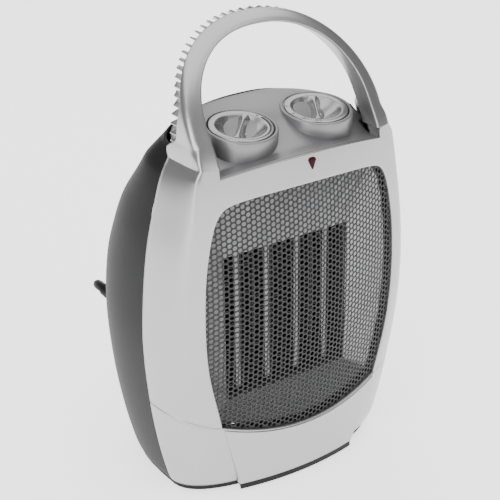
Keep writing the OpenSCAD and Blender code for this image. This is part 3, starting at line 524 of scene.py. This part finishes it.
for sign in (1, -1):
    rows = shell_patch(sign)
    add_grid(bm, rows)
    add_grid(bm, opening_return(rows, sign))
    # turned edge along the panel's front and beside the leg corner
    top = rows[n_side + n_leg:]
    lip = []
    for r in top:
        p = np.array(r[-1])
        lip.append([p, p + off(0, 0.5, 0.12), p + off(0, 1.1, -0.1),
                    p + off(0, 1.5, -0.6), p + off(0, 1.7, -3.5)])
    add_grid(bm, lip)
    # turned edge against the rear shell and the lower cover
    seam = [np.array(r[-1]) for r in rows[:n_side]]
    foot = [np.array(p) for p in rows[0]]
    add_grid(bm, [[p, p + off(-sign * 0.5, 0.25, 0), p + off(-sign * 1.6, 0.3, 0)] for p in seam])
    add_grid(bm, [[p, p + off(-sign * 0.35, 0.2, -0.1), p + off(-sign * 1.2, 0.9, -0.1)] for p in foot])
weld(bm)
front_skin = new_object("front_skin", bm)
paint(front_skin, SILVER)
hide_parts("front_shell", "carry_handle")

RIB_COUNT, RIB_HALF, RIB_SPAN = 39, 0.9, 0.87
# stations of a rib from root to crest: depth at the inner wall, depth at the outer wall, thickness, pull-in
RIB_STATIONS = [(3.2, 3.2, 1.15, 2.6), (4.3, 4.3, 1.05, 0.25), (7.5, 6.4, 0.85, 0.1), (12.0, 9.0, 0.62, 0),
                (15.2, 10.5, 0.45, 0.15), (15.9, 10.95, 0.28, 0.5), (16.1, 11.05, 0.1, 0.9)]
bm = bmesh.new()
for i in range(RIB_COUNT):
    s = -RIB_SPAN + 2 * RIB_SPAN * i / (RIB_COUNT - 1)
    a, b = arch_edge(s, False), arch_edge(s, True)
    d = unit(b - a)
    t = unit(np.cross(d, Y)) * RIB_HALF
    p, q = a + d * 2.9, b - d * 0.35
    deep = rim_depth(b) - ARCH_RIM
    rows = []
    for yp, yq, thick, pull in RIB_STATIONS:
        p0, q0 = p + Y * yp + d * pull * 0.3, q + Y * (yq + (deep if yq > 4 else 0)) - d * pull
        m = (p0 + q0) / 2
        rows.append([p0, p0 + d * 0.3 - t * thick * 0.8, m - t * thick,
                     q0 - d * 0.35 - t * thick * 0.85, q0, q0 - d * 0.35 + t * thick * 0.85,
                     m + t * thick, p0 + d * 0.3 + t * thick * 0.8])
    add_grid(bm, rows, closed=True)
# the strip the ribs stand on
STRIP_SPAN, STRIP_IN, STRIP_DEPTH = 0.96, 2.9, 3.9
rows = []
for s in [-STRIP_SPAN + 2 * STRIP_SPAN * i / 90 for i in range(91)]:
    a, b = arch_edge(s, False), arch_edge(s, True)
    d = unit(b - a)
    rows.append([a + d * STRIP_IN + Y * STRIP_DEPTH, b - d * STRIP_IN + Y * STRIP_DEPTH])
add_grid(bm, rows)
ribs = new_object("rib_comb", bm)
paint(ribs, SILVER)
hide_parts("handle_ribs")

# ---------------------------------------------------------------- lower cover with its toe panel
COVER_BOTTOM = 4.15
TOE_HALF, TOE_FLARE, TOE_STAND = 37.5, 12.5, 0.7
us = [U_SEAM * math.copysign(abs(k) ** 0.9, k) for k in np.linspace(-1, 1, 141)]
rows = []
for u in us:
    x50 = body_point(u, 50)[0]
    hi = seam_z(x50) - 0.15
    col = []
    for v in range(37):
        z = COVER_BOTTOM + (hi - COVER_BOTTOM) * v / 36
        col.append(body_point(u, z))
    e = col[-1]
    inward = unit(np.array((-e[0] * 0.6, 60 - e[1], 0)))
    col = [col[0] + inward * 1.6 + off(0, 0, -0.05), col[0] + inward * 0.4 + off(0, 0, -0.05)] + col
    if abs(e[0]) < 51:
        col += [e + off(0, 0.12, 0.35), e + off(0, 0.5, 0.62), e + off(0, 1.2, 0.7), e + off(0, 4.4, 0.7)]
    else:
        col += [e + inward * 0.15 + off(0, 0, 0.05), e + inward * 0.3 + off(0, 0, 0.08),
                e + inward * 0.8 + off(0, 0, 0.1), e + inward * 1.6 + off(0, 0, 0.1)]
    rows.append(col)
bm = bmesh.new()
add_grid(bm, rows)
cover = new_object("lower_cover_skin", bm)
paint(cover, SILVER)
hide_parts("lower_cover")


def toe_point(t, g, sink=0.0):
    x = t * (TOE_HALF + TOE_FLARE * g)
    z = COVER_BOTTOM + (seam_z(x) - 0.3 - COVER_BOTTOM) * g
    return np.array((x, front_y(x, z) - curve(TUCK, z) - TOE_STAND + sink, z))


bm = bmesh.new()
rows = []
TOE_T = [-1, -0.9985, -0.994, -0.985] + list(np.linspace(-0.97, 0.97, 48)) + [0.985, 0.994, 0.9985, 1]
for t in TOE_T:
    edge = {1: 0.45, 0.9985: 0.2, 0.994: 0.06}.get(abs(t), 0.0)
    col = [toe_point(t, 0, 2.2), toe_point(t, 0, 0.5 + edge) - off(0, 0, 0.02),
           toe_point(t, 0.006, 0.12 + edge)]
    col += [toe_point(t, g, edge) for g in np.linspace(0.02, 0.985, 30)]
    col += [toe_point(t, 0.995, 0.15 + edge), toe_point(t, 1.0, 0.5 + edge), toe_point(t, 1.0, 2.2)]
    rows.append(col)
back_l = [p + Y * 5.5 for p in rows[0]]
back_r = [p + Y * 5.5 for p in rows[-1]]
add_grid(bm, [back_l] + rows + [back_r])
toe = new_object("toe_panel", bm)
paint(toe, SILVER)

# ---------------------------------------------------------------- rear shell
SHOULDER_Z, SHOULDER_IN, SHOULDER_RUN = 183.5, 3.6, 12
AIM_Y = 35
# intake slots: columns to each side of the middle one, a tall field that steps down sideways, a low field
SLOT_PITCH, SLOT_HALF, SLOT_SIDE = 8, 1.8, 5
TALL_LOW, TALL_HIGH, TALL_SLOPE = 96, 158, 0.6
LOW_LOW, LOW_HIGH = 34, 52


def shoulder(p):
    """Above its crease the rear shell leans inward towards the panel."""
    k = (p[2] - SHOULDER_Z) / SHOULDER_RUN
    k = 0 if k < -0.05 else (k + 0.05) ** 2 * 5 if k < 0.05 else min(k, 1.4)
    return p + unit(off(-p[0], AIM_Y - p[1], 0)) * SHOULDER_IN * k


def u_rear(x, z):
    lo, hi = U_SEAM, 1.0
    for _ in range(22):
        m = (lo + hi) / 2
        lo, hi = (m, hi) if body_point(m, z)[0] > abs(x) else (lo, m)
    return math.copysign(lo, x)


def in_slot(x, z):
    k = round(x / SLOT_PITCH)
    if abs(x - k * SLOT_PITCH) > SLOT_HALF or abs(k) > SLOT_SIDE:
        return False
    if TALL_LOW < z < TALL_HIGH - TALL_SLOPE * abs(k) * SLOT_PITCH:
        return True
    return abs(k) < SLOT_SIDE and LOW_LOW < z < LOW_HIGH


slot_middles = [k * SLOT_PITCH for k in range(-SLOT_SIDE, SLOT_SIDE + 1)]
slot_lines = {x + e for x in slot_middles for e in (-SLOT_HALF, 0, SLOT_HALF)}
slot_x = sorted(slot_lines | {(k + 0.5) * SLOT_PITCH for k in range(-SLOT_SIDE - 1, SLOT_SIDE + 1)})
sides = [("u", u) for u in np.linspace(U_SEAM, 0.86, 36)]
columns = sides + [("x", x) for x in slot_x[::-1]] + [("u", -u) for _, u in sides[::-1]]
rows = []
for kind, c in columns:
    x_top = body_point(c, 196)[0] if kind == "u" else c
    hi = rim_z(x_top)
    col = []
    for v in range(101):
        z = 4.1 + (hi - 4.1) * v / 100
        p = body_point(c if kind == "u" else u_rear(c, z), z)
        if kind == "x":
            p = np.array((c, p[1], z))
        col.append(shoulder(p + off(0, 0.3, 0)))
    e = col[-1]
    inward = unit(off(-e[0], AIM_Y - e[1], 0))
    foot = col[0]
    fin = unit(off(-foot[0], 45 - foot[1], 0))
    col = [foot + fin * 2.2 + off(0, 0, 0.2), foot + fin * 0.6 + off(0, 0, -0.2)] + col
    col += [e + inward * 0.15 + off(0, 0, 0.4), e + inward * 0.5 + off(0, 0, 0.65),
            e + inward * 1.3 + off(0, 0, 0.7), e + inward * 1.8 + off(0, 0, 0.3),
            e + inward * 1.9 + off(0, 0, -6)]
    rows.append(col)
bm = bmesh.new()
add_grid(bm, rows)
weld(bm)
# open the intake slots and turn their edges inward
origin = place((0, 0, 0))
gone = []
for f in bm.faces:
    c = (f.calc_center_median() - Vector(origin)) / MM
    if c.y > 60 and in_slot(c.x, c.z):
        gone.append(f)
bmesh.ops.delete(bm, geom=gone, context="FACES")
walls = []
for e in bm.edges:
    c = ((e.verts[0].co + e.verts[1].co) / 2 - Vector(origin)) / MM
    if e.is_boundary and c.y > 60 and 30 < c.z < 160 and abs(c.x) < 43:
        walls.append(e)
turned = bmesh.ops.extrude_edge_only(bm, edges=walls)["geom"]
for v in turned:
    if isinstance(v, bmesh.types.BMVert):
        v.co.y -= 2.2 * MM
rear = new_object("rear_skin", bm)
paint(rear, REAR)
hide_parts("rear_shell")

# ---------------------------------------------------------------- control panel
DOME = [(-14, 190), (0, 190.2), (10, 194.3), (20, 199.3), (30, 202.8),
        (40, 204.8), (50, 204.8), (58, 203.2), (62, 202)]
KNOB_X, KNOB_Y, KNOB_Z, KNOB_TILT = 23.5, 19.4, 201.4, 9
KNOB_R, KNOB_GAP, COLLAR_WALL = 16.6, 0.6, 1.8


def panel_z(x, y):
    flat, dome = 190.3 - x * x / 472, curve(DOME, y) - x * x / 290
    # soft maximum gives the crease a small radius
    return max(flat, dome) + 0.25 * math.exp(-abs(flat - dome) / 0.5) * 0.5


def knob_frame(sign):
    centre = Matrix.Translation(place((sign * KNOB_X, KNOB_Y, KNOB_Z)))
    return centre @ Matrix.Rotation(math.radians(KNOB_TILT), 4, "X")


PANEL_SIDE, PANEL_REAR, PANEL_GAP = ARCH_HALF - 0.4, 56.6, 0.3
REAR_SQUARE = 2.8


def panel_half(y):
    a = curve(WIDTH, 193) - WALL - PANEL_GAP
    b = PANEL_REAR - SEAM_Y + 0.5
    w = PANEL_SIDE + (a - PANEL_SIDE) * smoothstep(16, 21, y)
    w -= 3.2 * smoothstep(26, 31, y)
    return w if y < SEAM_Y else w * max(1 - ((y - SEAM_Y) / b) ** REAR_SQUARE, 0) ** (1 / REAR_SQUARE)


def panel_point(t, v):
    y0 = front_y(0, 188) + 1.5
    k = 1 - (1 - v) ** 1.6
    fade = max(0, 1 - k / 0.45)
    yc = y0 + (PANEL_REAR - y0) * k
    x = t * panel_half(yc + PANEL_SIDE ** 2 / (2 * FRONT_R) * fade)
    y = yc + x * x / (2 * FRONT_R) * fade
    return np.array((x, y, panel_z(x, y)))


bm = bmesh.new()
rows = [[panel_point(t, v / 110) for v in range(111)] for t in np.linspace(-1, 1, 101)]
down = off(0, 0, -3)
rows = [[p + down for p in rows[0]]] + rows + [[p + down for p in rows[-1]]]
rows = [[r[0] + down] + r + [r[-1] + down] for r in rows]
add_grid(bm, rows)
panel = new_object("panel_skin", bm)
paint(panel, PANEL)
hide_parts("control_panel")

for sign, tag in ((-1, "left"), (1, "right")):
    bm = bmesh.new()
    inner, outer = KNOB_R + KNOB_GAP, KNOB_R + KNOB_GAP + COLLAR_WALL
    lathe(bm, [(inner, -7), (inner, -0.5), (inner + 0.12, -0.15), (inner + 0.4, 0), (outer - 0.7, 0),
               (outer - 0.2, -0.18), (outer, -0.6), (outer + 0.25, -5), (outer + 0.5, -13)],
          knob_frame(sign), 96)
    lathe(bm, [(inner, -7), (5, -7)], knob_frame(sign), 96)
    collar = new_object("collar_" + tag, bm)
    paint(collar, PANEL)


# ---------------------------------------------------------------- knobs
BOWL_R, BOWL_DEPTH = 12.8, 6.0


def make_knob(name, body, node, sign, turn):
    m = knob_frame(sign) @ Matrix.Rotation(math.radians(turn), 4, "Z")
    bm = bmesh.new()
    prof = [(KNOB_R - 0.3, -6.4), (KNOB_R, -6.0), (KNOB_R, -0.45), (KNOB_R - 0.13, -0.13),
            (KNOB_R - 0.45, 0), (BOWL_R + 0.9, 0), (BOWL_R + 0.45, -0.08), (BOWL_R, -0.45)]
    prof += [(BOWL_R * (1 - k), -0.45 - (BOWL_DEPTH - 0.45) * (1 - (1 - k) ** 2.3))
             for k in np.linspace(0.06, 0.97, 16)]
    prof += [(0.02, -BOWL_DEPTH)]
    lathe(bm, prof, m, 128)
    # grip blade: thin rounded crest with flanks that flare into the bowl at both ends
    rows = []
    n = 48
    for i in range(n + 1):
        f = 2 * i / n - 1
        y = f * (BOWL_R + 0.1)
        flare = abs(f) ** 3
        crest = 0.75 + 1.6 * flare
        waist = 1.25 + 2.4 * flare
        foot = 4.0 + 1.2 * flare
        half = [(foot, -BOWL_DEPTH - 0.4), (waist * 2.1, -4.2), (waist * 1.45, -2.2),
                (crest, -0.5), (crest * 0.7, -0.08), (0, 0.06)]
        pts = [(-x, z) for x, z in half] + [(x, z) for x, z in half[-2::-1]]
        rows.append([m @ Vector((x * MM, y * MM, z * MM)) for x, z in pts])
    vs = [[bm.verts.new(p) for p in r] for r in rows]
    for a, b in zip(vs, vs[1:]):
        for j in range(len(a) - 1):
            bm.faces.new((a[j], a[j + 1], b[j + 1], b[j]))
    o = new_object(name, bm, body)
    paint(o, KNOB)
    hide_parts(node)
    return m


def mark(bm, m, a0, a1, r0, w0, w1, n=40):
    """Printed arc on a knob's skirt from angle a0 to a1, growing from width w0 to w1."""
    lo, hi = [], []
    for i in range(n + 1):
        f = i / n
        a = math.radians(a0 + (a1 - a0) * f)
        w = w0 + (w1 - w0) * f
        for dest, r in ((lo, r0 - w / 2), (hi, r0 + w / 2)):
            dest.append(bm.verts.new(m @ Vector((r * math.cos(a) * MM, r * math.sin(a) * MM, 0.00003))))
    for i in range(n):
        bm.faces.new((lo[i], lo[i + 1], hi[i + 1], hi[i]))


LEFT_TURN, RIGHT_TURN = -43, -30
m_left = make_knob("thermostat_knob_skin", "thermostat_control", "thermostat_knob", -1, LEFT_TURN)
m_right = make_knob("mode_knob_skin", "mode_control", "mode_knob", 1, RIGHT_TURN)
bm = bmesh.new()
mark(bm, m_left, -110 - LEFT_TURN, 12 - LEFT_TURN, 14.9, 0.12, 1.7, 60)
mark(bm, m_left, 19 - LEFT_TURN, 26 - LEFT_TURN, 14.9, 0.35, 0.35, 6)
mark(bm, m_left, 21.7 - LEFT_TURN, 23.3 - LEFT_TURN, 14.9, 1.6, 1.6, 2)
scale_print = new_object("thermostat_scale", bm, "thermostat_control")
paint(scale_print, PRINT)
bm = bmesh.new()
for a in (150, 180, 207, 232):
    mark(bm, m_right, a - RIGHT_TURN, a + 1.8 - RIGHT_TURN, 14.9, 1.7, 1.7, 2)
for a in (183, 210, 214.5, 236, 240.5):
    mark(bm, m_right, a - RIGHT_TURN, a + 1.2 - RIGHT_TURN, 14.9, 1.5, 1.5, 2)
mark(bm, m_right, 146 - RIGHT_TURN, 154 - RIGHT_TURN, 15.6, 0.3, 0.3, 6)
mode_print = new_object("mode_scale", bm, "mode_control")
paint(mode_print, PRINT)

# ---------------------------------------------------------------- lens
bm = bmesh.new()
LENS_SHAPE = [(0, -3.6), (0.7, -2.5), (1.9, 0.8), (2.3, 1.9), (2.0, 2.8), (1.2, 3.25), (0, 3.4),
              (-1.2, 3.25), (-2.0, 2.8), (-2.3, 1.9), (-1.9, 0.8), (-0.7, -2.5)]
rows = []
for k, (scale, out) in enumerate(((1.0, -0.6), (1.0, 0.12), (0.9, 0.3), (0.5, 0.42), (0.02, 0.45))):
    rows.append([(x * scale, front_y(0, 184) - out, 184.5 + z * scale) for x, z in LENS_SHAPE])
add_grid(bm, rows, closed=True)
lens = new_object("lens_skin", bm)
paint(lens, LENS)
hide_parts("indicator_lens")

# ---------------------------------------------------------------- perforated grille
PITCH, HOLE_R, SHEET_T = 3.0, 1.22, 0.5
GRILLE_BACK = 1.6
out = [(x, z) for x, z in OPENING] + [(-x, z) for x, z in OPENING[::-1]]
poly = np.array(out + [(-35, 40.2), (-18, 36.8), (0, 35.5), (18, 36.8), (35, 40.2)])


def inside(x, z, grow):
    """Whether a point lies within the opening grown by a margin."""
    c = np.array((0, 106.0))
    q = c + (np.array((x, z)) - c) * (1 - grow / np.linalg.norm(np.array((x, z)) - c + 1e-9))
    hit = False
    for i in range(len(poly)):
        (x1, z1), (x2, z2) = poly[i - 1], poly[i]
        if (z1 > q[1]) != (z2 > q[1]) and q[0] < (x2 - x1) * (q[1] - z1) / (z2 - z1) + x1:
            hit = not hit
    return hit


def grille_y(x, z):
    return front_y(x, z) + GRILLE_BACK


bm = bmesh.new()
col_step = PITCH * math.sqrt(3) / 2
hex_r = PITCH / math.sqrt(3)
cols = int(64 / col_step) + 1
for i in range(-cols, cols + 1):
    x = i * col_step
    for k in range(int(30 / PITCH), int(180 / PITCH)):
        z = k * PITCH + (PITCH / 2 if i % 2 else 0)
        if not inside(x, z, 2.2):
            continue
        hole = inside(x, z, -0.9)
        front_o, front_i, back_i = [], [], []
        for a in range(12):
            t = math.radians(30 * a)
            ro = hex_r if a % 2 == 0 else hex_r * math.cos(math.radians(30))
            px, pz = x + ro * math.cos(t), z + ro * math.sin(t)
            front_o.append(bm.verts.new(place((px, grille_y(px, pz), pz))))
            if hole:
                px, pz = x + HOLE_R * math.cos(t), z + HOLE_R * math.sin(t)
                front_i.append(bm.verts.new(place((px, grille_y(px, pz), pz))))
                back_i.append(bm.verts.new(place((px, grille_y(px, pz) + SHEET_T, pz))))
        if hole:
            for a in range(12):
                b = (a + 1) % 12
                bm.faces.new((front_o[a], front_o[b], front_i[b], front_i[a]))
                bm.faces.new((front_i[a], front_i[b], back_i[b], back_i[a]))
        else:
            bm.faces.new(front_o)
weld(bm, 0.01)
grille = new_object("grille_skin", bm, smooth=False)
paint(grille, GRILLE)
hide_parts("front_grille")

# ---------------------------------------------------------------- floor and light
bpy.ops.mesh.primitive_plane_add(size=12, location=(0, 2, 0))
floor = bpy.context.object
floor.name = "floor"
# the floor also gives off light, which brings the background near white
pale = node_material("pale_floor", (0.95, 0.95, 0.95), 0.8, 0.0, 0.0, 40, 0.004)
bsdf = next(n for n in pale.node_tree.nodes if n.type == "BSDF_PRINCIPLED")
bsdf.inputs["Emission Color"].default_value = (1, 1, 1, 1)
bsdf.inputs["Emission Strength"].default_value = 1.7
floor.data.materials.append(pale)

world = bpy.data.worlds.new("studio")
bpy.context.scene.world = world
world.use_nodes = True
world.node_tree.nodes["Background"].inputs["Color"].default_value = (1, 1, 1, 1)
world.node_tree.nodes["Background"].inputs["Strength"].default_value = 0.16


def area_light(name, at, aim, size, power):
    d = bpy.data.lights.new(name, "AREA")
    d.shape = "RECTANGLE"
    d.size, d.size_y = size
    d.energy = power
    o = bpy.data.objects.new(name, d)
    bpy.context.scene.collection.objects.link(o)
    o.location = at
    o.rotation_euler = (Vector(aim) - Vector(at)).to_track_quat("-Z", "Y").to_euler()


area_light("key_left", (-1.5, -0.9, 0.8), (0, 0, 0.12), (0.9, 1.4), 20)
area_light("top_soft", (0.1, 0.3, 1.6), (0, 0, 0.1), (2.4, 2.4), 40)
area_light("front_soft", (0.2, -1.8, 0.7), (0, 0, 0.12), (1.0, 0.8), 7)
area_light("rim_back", (1.0, 1.4, 0.9), (0, 0, 0.15), (0.8, 1.0), 4)
